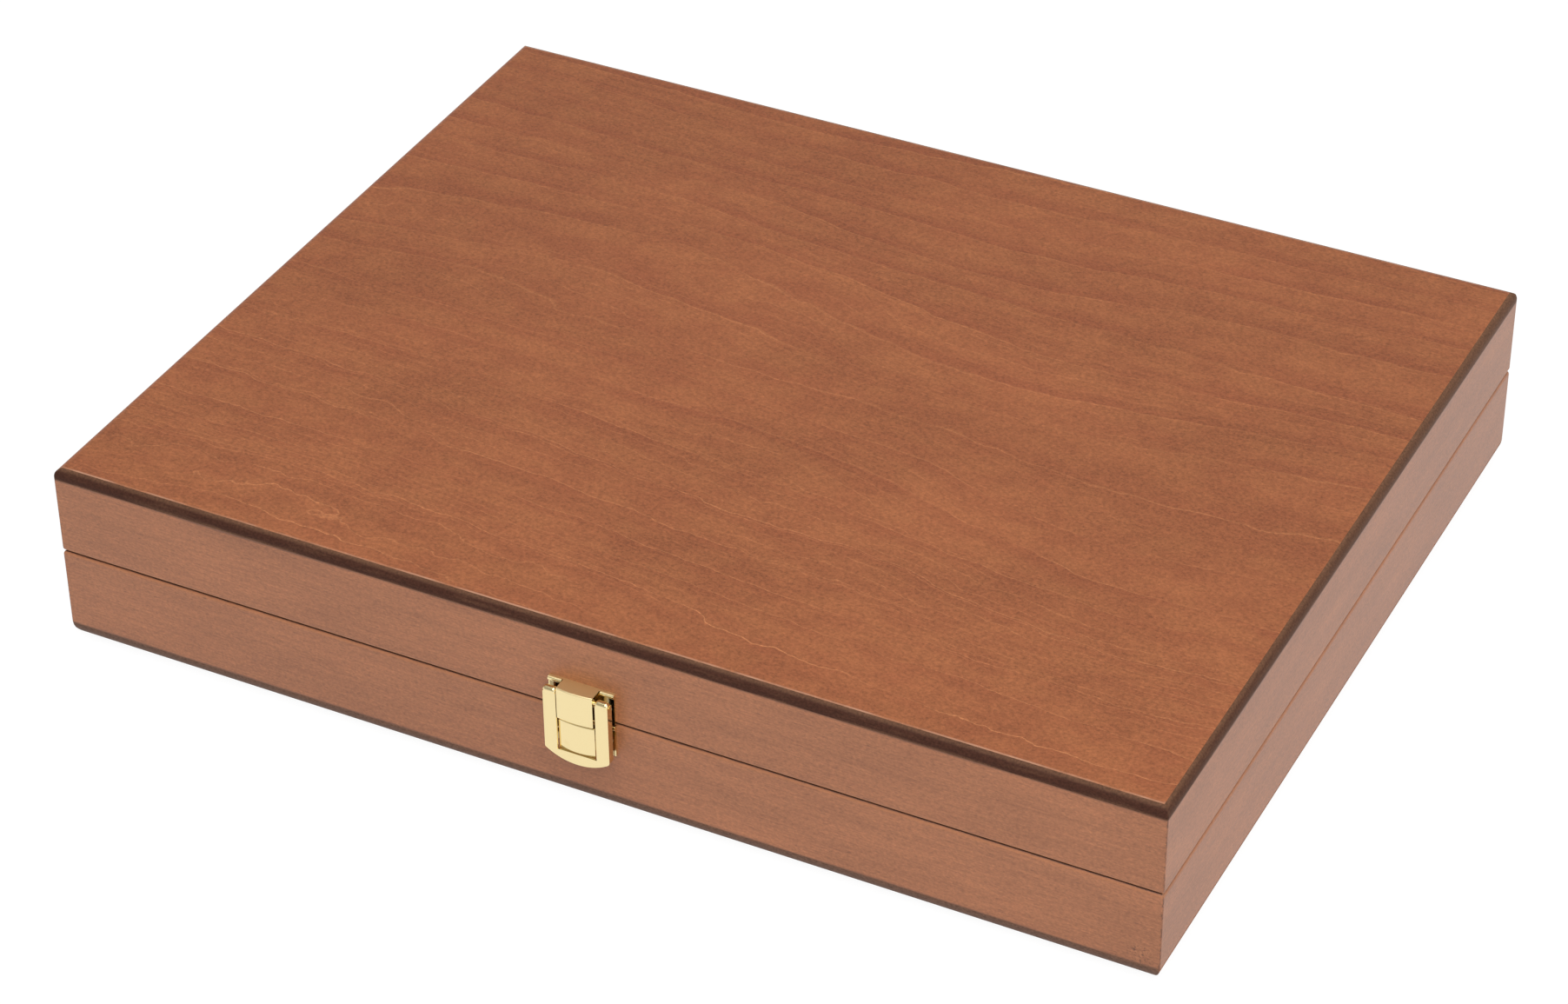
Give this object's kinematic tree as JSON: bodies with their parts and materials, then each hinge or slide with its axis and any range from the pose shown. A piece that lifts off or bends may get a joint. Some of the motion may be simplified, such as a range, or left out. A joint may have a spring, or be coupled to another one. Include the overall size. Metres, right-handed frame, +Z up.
{
  "type": "hinged wooden presentation case",
  "caption": "Flat hinged wooden presentation case with mitred walls, dark eased edges, a lined inside, stop hinges at the back and a gold flap clasp on the front.",
  "frame": {"origin": "middle of the case's underside", "axes": "+X along the case's width to the right, +Y from the clasp to the hinges, +Z up"},
  "size_m": [0.336, 0.2779, 0.059],
  "materials": {
    "stained_wood": "satin lacquer",
    "veneered_panel": "satin lacquer",
    "velour": "short pile",
    "hinge_brass": "polished",
    "clasp_gold": "polished gold plate"
  },
  "bodies": {
    "base": {"base_bottom_panel": "veneered_panel", "base_front_wall": "stained_wood", "base_right_wall": "stained_wood", "base_back_wall": "stained_wood", "base_left_wall": "stained_wood", "base_lining": "velour", "left_hinge_base_leaf": "hinge_brass", "left_hinge_pin": "hinge_brass", "right_hinge_base_leaf": "hinge_brass", "right_hinge_pin": "hinge_brass", "base_hinge_screws": "hinge_brass", "clasp_keeper_plate": "clasp_gold", "base_clasp_nails": "clasp_gold"},
    "lid": {"lid_top_panel": "veneered_panel", "lid_front_rail": "stained_wood", "lid_right_rail": "stained_wood", "lid_back_rail": "stained_wood", "lid_left_rail": "stained_wood", "lid_lining": "velour", "left_hinge_lid_leaf": "hinge_brass", "right_hinge_lid_leaf": "hinge_brass", "lid_hinge_screws": "hinge_brass", "clasp_lid_plate": "clasp_gold", "clasp_pin": "clasp_gold", "lid_clasp_nails": "clasp_gold"},
    "flap": {"clasp_flap": "clasp_gold"}
  },
  "joints": [
    {"name": "lid_hinge", "type": "hinge", "parent": "base", "child": "lid", "pos_m": [0, 0.13505, 0.0308], "axis": [-1, 0, 0], "range_deg": [0, 95]},
    {"name": "clasp_flap_hinge", "type": "hinge", "parent": "lid", "child": "flap", "pos_m": [0, -0.13699, 0.0393], "axis": [-1, 0, 0], "range_deg": [0, 130]}
  ]
}
